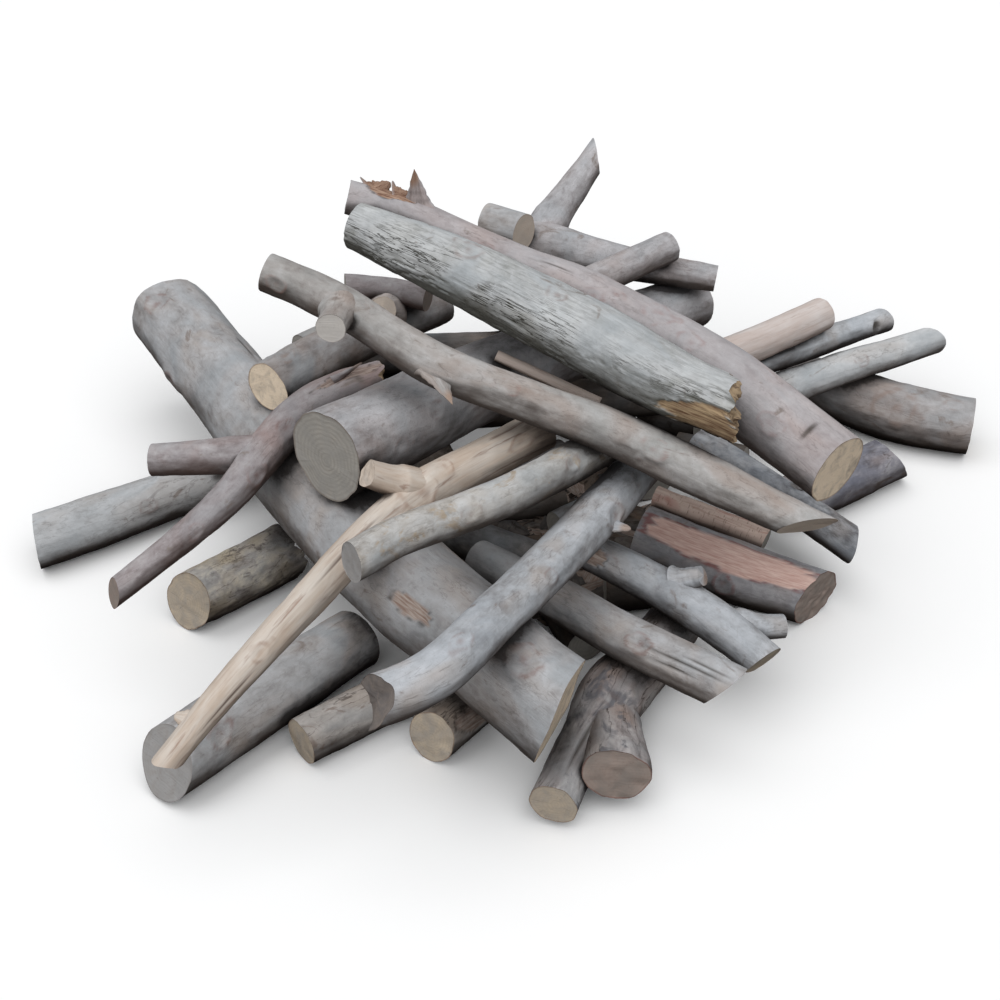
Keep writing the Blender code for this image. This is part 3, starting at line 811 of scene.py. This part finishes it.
# the skin in the log's own straight space: radius at each point, and the masks of what shows there
def layBark(look, line, run, place, angles, seed):
    turn = np.broadcast_to(angles, place.shape)
    radius = np.interp(place, run, line[:, 3]) * feel["swell"]
    own = place + seed * skinShape["apart"]
    straight = np.stack([radius * np.cos(turn), radius * np.sin(turn), own], axis=-1)
    points = straight.reshape(-1, 3)
    length = place.max()

    def rough(kind, at=points):
        return bumps(kind, at, seed).reshape(place.shape)

    def away(share, degrees):
        return place - share * length, radius * wrap(turn - math.radians(degrees))

    oval = np.cos(2 * (turn - seed) + place / skinShape["ovalTurn"])
    slow = rough("slow")
    lobe = skinShape["lobeSize"]
    later = place / skinShape["lobeTurn"] + seed
    around = np.stack([lobe * np.cos(turn), lobe * np.sin(turn), later], axis=-1)
    lobes = rough("lobes", around.reshape(-1, 3))
    height = radius * (look["swells"] * slow + look["oval"] * oval * 0.5 + look["lobes"] * lobes)
    height = height + look["dimples"] * rough("dimples")
    height = height + look["wrinkles"] * rough("wrinkles")

    crack = np.zeros(place.shape)
    if look["furrows"] > 0:
        bend = np.column_stack([bumps(kind, points, seed) for kind in ("bendX", "bendY", "bendZ")])
        ridge = np.abs(rough("ridge", points + skinShape["bend"] * bend))
        heavy = 0.1 + 0.8 * rough("heavy") - 0.75 * np.cos(turn)
        crack = smoothStep(0.07, 0.015, ridge) * smoothStep(0.0, 0.6, heavy) * (0.6 - 0.4 * np.cos(turn))
        height = height - look["furrows"] * crack

    # a knot: a raised ring round a sunk middle, both darker where they are broken
    scar = np.zeros(place.shape)
    wobble = rough("wobble")
    broken = smoothStep(-0.4, 0.4, rough("broken"))
    for share, degrees, size, rise in look["knots"]:
        onward, sideways = away(share, degrees)
        off = np.hypot(onward / skinShape["knotLong"], sideways) / size * (1 + 0.5 * wobble)
        height = height + rise * (hill(off, skinShape["knotRing"], 0.3) - 0.9 * hill(off, 0.0, 0.5))
        mark = 0.7 * hill(off, skinShape["knotRing"], 0.17) + 0.9 * hill(off, 0.0, 0.36)
        scar = np.maximum(scar, np.clip(mark * (0.25 + 0.75 * broken), 0, 1))
    for share, degrees, size, rise in look["burls"]:
        onward, sideways = away(share, degrees)
        height = height + rise * hill(np.hypot(onward / skinShape["burlLong"], sideways), 0.0, size)

    for share, degrees, long, wide, deep in look["cuts"]:
        onward, sideways = away(share, degrees)
        sideways = sideways + skinShape["strayCut"] * slow
        cut = smoothStep(1.1, 0.3, np.hypot(onward / long, sideways / wide) * 2)
        height = height - deep * cut
        crack = np.maximum(crack, 0.9 * cut)

    bare = np.zeros(place.shape)
    edge = rough("edge")
    for share, degrees, long, wide in look["bare"]:
        onward, sideways = away(share, degrees)
        off = np.hypot(onward / long, sideways / wide) * 2 + look["ragged"] * edge
        bare = np.maximum(bare, smoothStep(1.05, 0.97, off))
        crack = np.maximum(crack, 0.8 * hill(off, 1.06, 0.05))
    crack = crack * (1 - bare)
    height = height - look["barkThick"] * bare + bare * skinShape["fibres"] * rough("fibres")
    return {"turn": turn, "radius": radius + height, "straight": straight, "place": place,
            "masks": np.stack([bare, scar, crack], axis=-1)}


def alongLine(values, run, place):
    return np.stack([np.interp(place, run, column) for column in values.T], axis=-1)


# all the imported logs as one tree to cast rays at
def packedTree():
    corners = []
    faces = []
    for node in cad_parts.values():
        first = len(corners)
        corners += [v.co / mm for v in node.data.vertices]
        faces += [[first + corner for corner in face.vertices] for face in node.data.polygons]
    return BVHTree.FromPolygons(corners, faces)


allLogs = packedTree()


# directions spread evenly over the hemisphere round the z axis, more of them near the axis
def domeWays(count):
    k = np.arange(count) + 0.5
    lean = np.sqrt(k / count)
    turn = k * math.pi * (3 - math.sqrt(5))
    return np.column_stack([lean * np.cos(turn), lean * np.sin(turn), np.sqrt(1 - lean ** 2)])


# how sheltered places are that face outward, from 0 in the open to 1
def shelterAt(points, outward):
    helper = np.where(np.abs(outward[:, 2:]) < 0.8, [[0.0, 0.0, 1.0]], [[1.0, 0.0, 0.0]])
    side = np.cross(outward, helper)
    side /= np.linalg.norm(side, axis=1)[:, None]
    up = np.cross(side, outward)
    starts = points + outward * shelter["clear"]
    total = np.zeros(len(points))
    for x, y, z in domeWays(shelter["rays"]):
        ways = x * side + y * up + z * outward
        for k, (start, way) in enumerate(zip(starts, ways)):
            away = allLogs.ray_cast(Vector(start), Vector(way), shelter["reach"])[3]
            closed = 0.0 if away is None else 1 - away / shelter["reach"]
            if way[2] < 0:
                fall = 1 + start[2] / (way[2] * shelter["reach"])
                closed = max(closed, shelter["ground"] * fall)
            total[k] += closed
    return total / shelter["rays"]


# the same over a whole skin of rows and columns, measured at some of its points
def shelterOver(verts, outward):
    rows, columns = verts.shape[:2]
    down = np.unique(np.linspace(0, rows - 1, rows // shelter["every"] + 2).astype(int))
    aside = np.arange(0, columns, shelter["every"])
    some = np.ix_(down, aside)
    found = shelterAt(verts[some].reshape(-1, 3), outward[some].reshape(-1, 3)).reshape(len(down), -1)
    wide = np.array([np.interp(np.arange(columns), aside, row, period=columns) for row in found])
    return np.array([np.interp(np.arange(rows), down, column) for column in wide.T]).T


# a body is gathered as points with what the materials read there, and faces with their slots
def newBody():
    return {"verts": [], "grain": [], "marks": [], "ring": [], "sheltered": [], "faces": [], "slots": [],
            "count": 0}


def addPoints(body, verts, grain, marks, ring, sheltered=0.0):
    body["verts"].append(verts)
    body["grain"].append(grain)
    body["marks"].append(np.broadcast_to(marks, verts.shape))
    body["ring"].append(np.full(len(verts), float(ring)))
    body["sheltered"].append(np.broadcast_to(sheltered, len(verts)))
    body["count"] += len(verts)


def addFaces(body, faces, slot):
    body["faces"].append(faces)
    body["slots"].append(np.full(len(faces), slot))


# quads between rows of points that close round, numbered from the first
def tubeFaces(rows, columns, first=0):
    i, j = np.meshgrid(np.arange(rows - 1), np.arange(columns), indexing="ij")
    k = (j + 1) % columns
    quads = np.stack([i * columns + j, i * columns + k, (i + 1) * columns + k, (i + 1) * columns + j], -1)
    return first + quads.reshape(-1, 4)


def makeBody(name, look, skin, directions, line, run, seed):
    ahead, up, front = directions
    place = skin["place"]
    turn = skin["turn"][..., None]
    heart = line[:, :3].copy()
    if look["stem"] is None:
        drift = np.column_stack([run * 0, run * 0, run])
        heart += look["wander"] * (bumps("strayUp", drift, seed)[:, None] * up
                                   + bumps("strayFront", drift, seed)[:, None] * front)
    outward = np.cos(turn) * alongLine(up, run, place) + np.sin(turn) * alongLine(front, run, place)
    verts = alongLine(heart, run, place) + skin["radius"][..., None] * outward
    rows, columns = place.shape
    body = newBody()
    addPoints(body, verts.reshape(-1, 3), skin["straight"].reshape(-1, 3), skin["masks"].reshape(-1, 3),
              onSkin, shelterOver(verts, outward).ravel())
    addFaces(body, tubeFaces(rows, columns), skinSlot)
    capEnd(body, look["left"], verts[0], skin["straight"][0], 0, -ahead[0], seed, leftSlot)
    capEnd(body, look["right"], verts[-1], skin["straight"][-1], rows - 1, ahead[-1], seed - 1, rightSlot)
    if np.mean(np.einsum("ij,ij->i", np.cross(up, front), ahead)) > 0:
        body["faces"] = [faces[:, ::-1] for faces in body["faces"]]
    for spike in look["snags"]:
        addSnag(body, spike, line, directions, seed)
    finishBody(name, look, body)


# the rings of points of an end face
endRings = {
    "rim": (0.985, 0.95),   # close to the rim, as shares of the radius
    "first": 0.9,           # the first of the even ones, and how many there are
    "sawn": 9,
    "torn": 22,
    "dished": 0.94,         # where the dish of a sawn end has its full depth
}


# an end face: rings from the rim to the pith, lifted by the end's own relief
def capEnd(body, look, rim, straight, row, outward, seed, slot):
    columns = len(rim)
    pith = rim.mean(0) + look["pith"] * (rim[seed % columns] - rim.mean(0))
    flatPith = straight[:, :2].mean(0)
    base = rim
    rings = endRings["sawn"]
    if look["jag"] > 0:
        base = rim - outward * endRelief(straight[:, :2], look, seed)[:, None]
        pith = base.mean(0)
        rings = endRings["torn"]
    previous = row * columns + np.arange(columns)
    for share in [*endRings["rim"], *np.linspace(endRings["first"], 0.0, rings)]:
        flat = flatPith + (straight[:, :2] - flatPith) * share
        lift = endRelief(flat, look, seed) - look["dish"] * smoothStep(1.0, endRings["dished"], share)
        verts = pith + (base - pith) * share + outward * lift[:, None]
        these = body["count"] + np.arange(columns)
        if share == 0:
            these = np.full(columns, body["count"])
            verts = verts[:1]
            flat = flat[:1]
        grain = np.column_stack([flat - flatPith, straight[:len(flat), 2]])
        addPoints(body, verts, grain, 0.0, share)
        a, b = (these, previous) if slot == leftSlot else (previous, these)
        addFaces(body, np.stack([a, np.roll(a, -1), np.roll(b, -1), b], axis=-1), slot)
        previous = these


# what all broken spikes and stubs have alike
snagShape = {
    "around": 20,        # points round it
    "rows": 20,
    "sunk": 6.0,         # mm that its foot is sunk in the log, and a share of its width more
    "sunkMore": 0.25,
    "blunt": 0.9,        # how fast it narrows
    "foot": 0.35,        # how much wider its foot is, and how soon that ends
    "footEnd": 9,
    "closed": 0.02,      # what is left of its width at the very tip
}


# a broken spike or stub: flat, tapering, bark outside and bare towards its tip, its foot in the log
def addSnag(body, look, line, directions, seed):
    ahead, up, front = directions
    mark = int(look["share"] * (len(line) - 1))
    turn = math.radians(look["degrees"])
    tilt = math.radians(look["lean"])
    outward = math.cos(turn) * up[mark] + math.sin(turn) * front[mark]
    side = np.cross(ahead[mark], outward)
    onward = math.cos(tilt) * outward + math.sin(tilt) * ahead[mark]
    wide = math.cos(tilt) * ahead[mark] - math.sin(tilt) * outward
    width = look["width"]
    sunk = snagShape["sunk"] + snagShape["sunkMore"] * width
    length = look["length"] + sunk
    foot = line[mark, :3] + outward * (line[mark, 3] * feel["swell"] - sunk * math.cos(tilt))
    columns, rows = snagShape["around"], snagShape["rows"]
    angles = anglesRound(columns)
    first = body["count"]
    for row in range(rows):
        share = row / (rows - 1)
        taper = look["tip"] + (1 - look["tip"]) * (1 - share) ** snagShape["blunt"]
        taper += snagShape["foot"] * math.exp(-share * snagShape["footEnd"])
        if row == rows - 1:
            taper = snagShape["closed"]
        knobbly = 1 + look["rough"] * (math.sin(seed + 4.3 * row) + np.sin(angles * 3 + seed + 0.9 * row))
        reach = (width * 0.5 * taper * knobbly)[:, None]
        ring = (foot + onward * length * share + wide * reach * np.cos(angles)[:, None]
                + side * look["flat"] * reach * np.sin(angles)[:, None])
        grain = np.column_stack([width * np.cos(angles), width * np.sin(angles),
                                 np.full(columns, length * share + seed)])
        torn = np.clip((share - 1 + look["bared"]) * 6 + 0.8 * np.cos(angles + seed), 0, 1)
        addPoints(body, ring, grain, np.column_stack([torn, 0 * torn, 0 * torn]), onSkin)
    faces = tubeFaces(rows, columns, first)
    if np.cross(wide, side) @ onward < 0:
        faces = faces[:, ::-1]
    addFaces(body, faces, skinSlot)


# a body made into one piece with its materials, held above the ground
def makePiece(name, body, materials):
    mesh = bpy.data.meshes.new(name)
    verts = np.vstack(body["verts"]) * mm
    verts[:, 2] = np.maximum(verts[:, 2], 0.0)
    faces = np.vstack(body["faces"]).tolist()
    mesh.from_pydata(verts, [], [tuple(dict.fromkeys(face)) for face in faces])
    values = {"grain": np.vstack(body["grain"]) * mm, "marks": np.vstack(body["marks"])}
    for label, value in values.items():
        mesh.attributes.new(label, "FLOAT_VECTOR", "POINT").data.foreach_set("vector", value.ravel())
    for label in ("ring", "sheltered"):
        value = np.concatenate(body[label])
        mesh.attributes.new(label, "FLOAT", "POINT").data.foreach_set("value", value)
    mesh.polygons.foreach_set("material_index", np.concatenate(body["slots"]))
    mesh.shade_smooth()
    mesh.set_sharp_from_angle(angle=math.radians(sharp))
    for material in materials:
        mesh.materials.append(material)
    return placed(name, mesh)


def placed(name, data):
    thing = bpy.data.objects.new(name, data)
    bpy.context.scene.collection.objects.link(thing)
    return thing


def finishBody(name, look, body):
    if look["bark"] in barks:
        skin = barkMaterial(barks[look["bark"]], name, look["tint"])
    else:
        skin = bareMaterial(bareWoods[look["bark"]], name, look["tint"])
    piece = makePiece(name + "_wood", body, (skin, look["left"]["wood"], look["right"]["wood"]))
    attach(piece, "root")
    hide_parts(name)


# --- the logs ---

shadeLift = (1.09, 1.10, 1.11)   # painted light: a lighter tint that lifts the logs lying in the shade

# a log's look: its bark, the mm between the points of its skin, and what else sets it apart
def log(bark, grid, **more):
    return {"bark": bark, "grid": grid, **more}


# angles run from the top to the front, 0 up and 90 level
looks = {
    # the three long ones on top
    "top_bark_log": log("cracked", 1.7, furrows=1.7, wrinkles=0.5, dimples=0.8,
        left=end("barkish", saw=0.8), right=end("torn", jag=8.0),
        knots=[(0.31, 10, 13, 1.1), (0.54, 12, 10, 0.8)], bare=[(0.95, 108, 100, 50)],
        cuts=[(0.975, 40, 22, 8, 3.0), (0.90, 62, 34, 4, 1.6)]),
    "long_pink_log": log("pinkGrey", 2.2, dimples=0.5, wrinkles=0.2, left=end("barkish", saw=1.0),
        right=end("fresh"),
        knots=[(0.50, 36, 9, 0.7), (0.534, 12, 8, 0.6), (0.609, 4, 15, 0.5), (0.681, 24, 12, 0.8),
               (0.879, 52, 10, 0.9), (0.30, 40, 8, 0.5)],
        cuts=[(0.934, 26, 8, 30, 0.6), (0.41, 15, 60, 2.5, 0.5)], bare=[(0.095, -8, 56, 26)],
        snags=[snag(0.158, -4, 34, 42, lean=-22, tip=0.0, bared=0.3, flat=0.3),
               snag(0.066, -25, 9, 34, lean=40, tip=0.1, bared=0.9, rough=0.08),
               snag(0.105, -14, 6, 26, lean=60, tip=0.1, bared=0.9, rough=0.08)]),
    "long_grey_branch": log("brownGrey", 2.0, left=end("barkish"), right=end("peeled"),
        knots=[(0.05, 75, 7, 1.2), (0.2, 7, 7, 0.5), (0.455, 40, 8, 0.5), (0.70, 50, 10, 0.8)],
        snags=[snag(0.345, 88, 34, 30, lean=46, tip=0.0, bared=0.3, flat=0.35)],
        burls=[(0.14, 70, 20, 3.0), (0.36, 60, 24, 2.0)]),
    # over the front
    "hooked_branch": log("blueWhite", 2.0, left=end("stained", jag=2.0),
        knots=[(0.717, 62, 12, 1.5), (0.46, 55, 7, 0.6), (0.86, 40, 9, 0.6), (0.20, 20, 9, 0.6)],
        snags=[snag(0.705, 88, 15, 30, lean=10, tip=0.15, bared=0.3)], burls=[(0.16, 60, 30, 3.0)]),
    "curved_branch": log("tanBlotch", 2.0, left=end("barkish", saw=1.0),
        knots=[(0.40, 60, 9, 0.6), (0.78, 50, 9, 0.8)]),
    "peeled_fork": log("peeled", 1.9, left=end("peeled", jag=2.0), right=end("pale"),
        knots=[(0.93, 50, 9, 0.6), (0.25, 40, 8, 0.4), (0.69, 38, 17, 1.0), (0.76, 10, 10, 0.6)],
        cuts=[(0.50, 20, 110, 3, 0.8), (0.16, 60, 90, 2.5, 0.6)], burls=[(0.71, 0, 26, 4.0)],
        snags=[snag(0.10, -60, 8, 26, lean=-20, tip=0.2)]),
    "back_peeled_slat": log("peeledPink", 2.2, right=end("pale", saw=0.8)),
    "pale_twig": log("twig", 2.0),
    "ribbed_slat": log("ribbed", 1.8, dimples=1.1),
    # left
    "big_log": log("smoothGrey", 3.0, right=end("fresh", saw=0.8),
        knots=[(0.055, 34, 15, 1.8), (0.93, 18, 16, 2.2), (0.16, 98, 12, 1.0), (0.86, 60, 9, 0.6)],
        bare=[(0.775, 52, 46, 15)], cuts=[(0.80, 55, 16, 14, 1.5), (0.22, -30, 70, 3, 1.0)]),
    "left_log": log("paleGrey", 2.2, left=end("barkish", saw=0.8), right=end("dull"),
        cuts=[(0.93, 55, 34, 14, 5.0)], knots=[(0.55, 60, 8, 0.5)]),
    "left_fork": log("redBrown", 2.0, left=end("red"), right=end("torn", jag=6.0),
        knots=[(0.66, 40, 10, 1.2), (0.30, 60, 7, 0.6), (0.50, 60, 9, 1.0)], bare=[(0.90, 10, 80, 12)],
        burls=[(0.58, 10, 30, 2.5)], snags=[snag(0.86, 10, 26, 12, lean=78, tip=0.1, bared=0.5)]),
    "tan_sawn_log": log("thickBrown", 2.4, left=end("fresh", saw=0.6), knots=[(0.12, 5, 12, 1.0)]),
    "reddish_back_log": log("redBrown", 2.7, right=end("red")),
    "thick_sawn_log": log("thickGrey", 2.6, left=end("grey", saw=0.6), right=end("red"),
        knots=[(0.22, 60, 9, 0.6), (0.12, 80, 8, 0.6)], dimples=0.9),
    "mottled_sawn_log": log("mottled", 2.0, dimples=1.6, left=end("dull", saw=0.8), furrows=0.8,
        right=end("torn", jag=6.0)),
    # front
    "front_left_log": log("smoothGrey", 2.6, tint=shadeLift, left=end("barkish", saw=0.9),
        knots=[(0.25, 50, 12, 1.0)], burls=[(0.10, 60, 34, 3.0)]),
    "front_mottled_log": log("tanGrey", 2.2, left=end("dull", saw=1.0), dimples=1.0),
    "front_tan_log": log("tanGrey", 2.2, left=end("dull", saw=1.2), dimples=1.2, bare=[(0.5, 60, 50, 26)]),
    "root_log": log("rooty", 2.0, dimples=1.6, swells=0.08, left=end("dull"),
        burls=[(0.50, -60, 34, 8.0), (0.34, 70, 30, 7.0), (0.62, 40, 34, 7.0), (0.12, 60, 26, -3.0)],
        knots=[(0.45, 20, 16, 1.6), (0.62, 40, 12, 1.2)], cuts=[(0.25, 10, 90, 5, 2.0)]),
    # right
    "right_lower_log": log("smoothGrey", 2.1, left=end("stained"), right=end("pale", saw=0.8),
        knots=[(0.698, 42, 9, 1.3)],
        cuts=[(0.84, 40, 110, 4, 1.6), (0.80, 62, 70, 3, 1.2), (0.90, 22, 60, 3, 1.0)]),
    "right_fork_log": log("blueWhite", 2.0, left=end("dull"), right=end("dull", saw=1.0),
        bare=[(0.05, 50, 36, 20)],
        snags=[snag(0.43, -18, 20, 24, lean=50, tip=0.8, bared=0.1, flat=0.85, rough=0.02)],
        knots=[(0.16, 50, 7, 0.8)]),
    "pink_split_log": log("redPatch", 2.1, right=end("red", jag=1.5),
        bare=[(0.52, 24, 200, 36), (0.95, 70, 26, 40)], ragged=0.25, knots=[(0.53, 78, 10, 1.5)],
        cuts=[(0.95, 60, 20, 10, 3.0)]),
    "blue_grey_log": log("slate", 2.2, right=end("dull"),
        snags=[snag(0.55, -20, 12, 18, lean=20, tip=0.8)]),
    "dark_blue_log": log("blueDark", 2.4, right=end("red"), dimples=1.1),
    "right_thick_log": log("thickBrown", 2.4, right=end("dull", saw=0.8),
        knots=[(0.64, 50, 20, 0.9), (0.90, 20, 9, 1.2)]),
    "right_long_stick": log("paleGrey", 2.2, tint=shadeLift, right=end("red"), knots=[(0.60, 45, 7, 0.6)]),
    "notched_stick": log("blueWhite", 2.0, tint=shadeLift, right=end("red"), cuts=[(0.90, 70, 12, 22, 5.0)],
        snags=[snag(0.36, 10, 34, 24, lean=60, tip=0.0, flat=0.3)]),
    # back
    "back_fork_stem": log("thickGrey", 2.4, right=end("red"), burls=[(0.22, 30, 34, 5.0)]),
    "back_short_log": log("thickGrey", 2.4, right=end("red")),
    "back_small_log": log("smoothGrey", 2.4, right=end("peeled"), tint=shadeLift),
    # inside, where little of them shows
    "cross_log_front": log("damp", 4.2),
    "cross_log_back": log("dampGrey", 4.2),
    "ground_log_left": log("damp", 4.2),
    "ground_log_right": log("damp", 4.2),
    "prop_log_left": log("thickBrown", 4.0),
    "prop_log_right": log("thickBrown", 4.0),
    "back_cross_log": log("tanGrey", 4.0),
    "pale_back_log": log("tanGrey", 4.0),
    "inner_dark_log": log("dampGrey", 4.0),
    "inner_brown_log": log("dampGrey", 4.0),
    "inner_mottled_log": log("damp", 4.0),
    "inner_right_log": log("damp", 4.0),
    "inner_back_log": log("damp", 4.0),
    "inner_lower_log": log("damp", 4.0),
    "inner_far_log": log("damp", 4.0),
    "inner_grey_log": log("dampGrey", 2.6),
    # arms, after their stems
    "sawn_stub": log("brownGrey", 1.8, stem="long_grey_branch", flare=0.8, right=end("pale", saw=0.5)),
    "sawn_knob": log("peeledPink", 1.9, stem="tan_sawn_log", flare=0.4, right=end("peeled", saw=0.8)),
    "root_prong": log("rooty", 1.9, stem="root_log", dimples=1.6, flare=0.3, right=end("red", saw=1.5),
        burls=[(0.90, 80, 24, 6.0), (0.90, -60, 24, 5.0)]),
    "right_fork_arm": log("blueWhite", 2.0, stem="right_fork_log", right=end("dull")),
    "left_fork_arm": log("redBrown", 2.0, stem="left_fork", right=end("fresh")),
    "peeled_fork_stub": log("peeled", 1.8, stem="peeled_fork", flare=1.1, right=end("peeled", jag=1.5)),
    "back_fork_arm": log("thickGrey", 2.2, stem="back_fork_stem", flare=0.9, right=end("red")),
}

# Broken bark on the ground inside the heap, in a dark bark: painted shade where the floor shows between the
# logs.
litter = {
    "flakes": 480,
    "spread": (95.0, 90.0),   # mm either way from the middle
    "middle": (0.0, 45.0),
    "farthest": 1.6,          # spreads from the middle
    "length": (30.0, 85.0),
    "width": (12.0, 30.0),
    "curl": (2.0, 7.0),       # mm that its middle stands above its edges
    "raised": (1.5, 9.0),     # mm off the ground
    "bared": (0.0, 0.0, 0.0, 0.7),   # one in four shows its inner side
    "slope": 0.08,            # how steep it may lie along and across
    "tilt": 0.2,
    "thick": 2.2,
    "around": 8,              # points round a flake and rows along it
    "rows": 7,
    "seed": 4,
}


def makeLitter():
    dice = random.Random(litter["seed"])
    body = newBody()
    columns, rows = litter["around"], litter["rows"]
    angles = anglesRound(columns)
    middleX, middleY = litter["middle"]
    spreadX, spreadY = litter["spread"]
    for flake in range(litter["flakes"]):
        x = dice.gauss(middleX, spreadX)
        y = dice.gauss(middleY, spreadY)
        heading = dice.uniform(0, math.pi)
        length, width, curl = [dice.uniform(*litter[part]) for part in ("length", "width", "curl")]
        if math.hypot((x - middleX) / spreadX, (y - middleY) / spreadY) > litter["farthest"]:
            continue
        raised = dice.uniform(*litter["raised"])
        bared = dice.choice(litter["bared"])
        slope = dice.uniform(-litter["slope"], litter["slope"])
        along = np.array([math.cos(heading), math.sin(heading), slope])
        tilt = dice.uniform(-litter["tilt"], litter["tilt"])
        side = np.array([-math.sin(heading), math.cos(heading), tilt])
        first = body["count"]
        for row in range(rows):
            share = row / (rows - 1)
            taper = max(0.03, math.sin(math.pi * min(share * 1.15 + 0.05, 1.0)) ** 0.4)
            taper *= 1 + 0.15 * math.sin(flake + 5 * row)
            middle = np.array([x, y, raised]) + along * length * (share - 0.5)
            breadth = width * 0.5 * taper * np.cos(angles)
            lift = litter["thick"] * 0.5 * np.sin(angles) + curl * (1 - (2 * breadth / width) ** 2)
            ring = middle + side * breadth[:, None] + np.array([0, 0, 1.0]) * lift[:, None]
            grain = np.column_stack([breadth, lift, np.full(columns, length * share + 90.0 * flake)])
            addPoints(body, ring, grain, (bared, 0.0, 0.0), onSkin)
        addFaces(body, tubeFaces(rows, columns, first), skinSlot)
    skin = barkMaterial(barks["damp"], "litter", plainLog["tint"])
    flakes = makePiece("bark_litter", body, (skin,))
    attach(flakes, "root")


for name, changes in looks.items():
    growLog(name, changes)
print("grew", len(looks), "logs")
makeLitter()
print("laid the bark litter")


# --- floor, light and camera ---

# one shader where the camera sees it, and another for the light that it gives the logs
def seenAndGiven(tree, seen, given, output):
    tree.nodes.clear()
    toCamera = addNode(tree, "LightPath").outputs["Is Camera Ray"]
    given, seen = [addNode(tree, kind, inputs).outputs[0] for kind, inputs in (given, seen)]
    both = addNode(tree, "MixShader", {0: toCamera, 1: given, 2: seen})
    addNode(tree, output, {0: both.outputs[0]})


def makeFloor():
    size = stage["floorSize"] / 2
    mesh = bpy.data.meshes.new("floor")
    mesh.from_pydata([(-size, -size, 0), (size, -size, 0), (size, size, 0), (-size, size, 0)], [],
                     [(0, 1, 2, 3)])
    material, tree, _ = newMaterial("matt_paper_floor")
    seenAndGiven(tree, ("BsdfDiffuse", {"Color": linear(stage["floor"])}),
                 ("BsdfDiffuse", {"Color": linear(stage["floorBounce"])}), "OutputMaterial")
    mesh.materials.append(material)
    floor = placed("floor", mesh)


def makeLight():
    world = bpy.data.worlds.new("soft_sky")
    bpy.context.scene.world = world
    world.use_nodes = True
    seenAndGiven(world.node_tree, ("Background", {"Color": linear(stage["backdrop"]), "Strength": 1.0}),
                 ("Background", {"Color": linear(stage["skyColour"]), "Strength": stage["skyLevel"]}),
                 "OutputWorld")
    lamp = bpy.data.lights.new("soft_key", "SUN")
    lamp.angle = math.radians(stage["keySpread"])
    lamp.energy = stage["keyLevel"]
    key = placed("soft_key", lamp)
    key.rotation_euler = (math.radians(90 - stage["keyHeight"]), 0.0, math.radians(stage["keySide"]))


def makeCamera():
    camera = placed("camera", bpy.data.cameras.new("camera"))
    camera.data.lens = stage["lens"]
    camera.data.clip_end = stage["sight"]
    rise = math.radians(stage["elevation"])
    x, y, z = stage["target"]
    reach = stage["distance"]
    camera.location = (x, y - reach * math.cos(rise), z + reach * math.sin(rise))
    camera.rotation_euler = (math.pi / 2 - rise, 0.0, 0.0)
    bpy.context.scene.camera = camera


makeFloor()
makeLight()
makeCamera()
bpy.context.scene.view_settings.view_transform = "Standard"
print("set up the floor, the light and the camera")
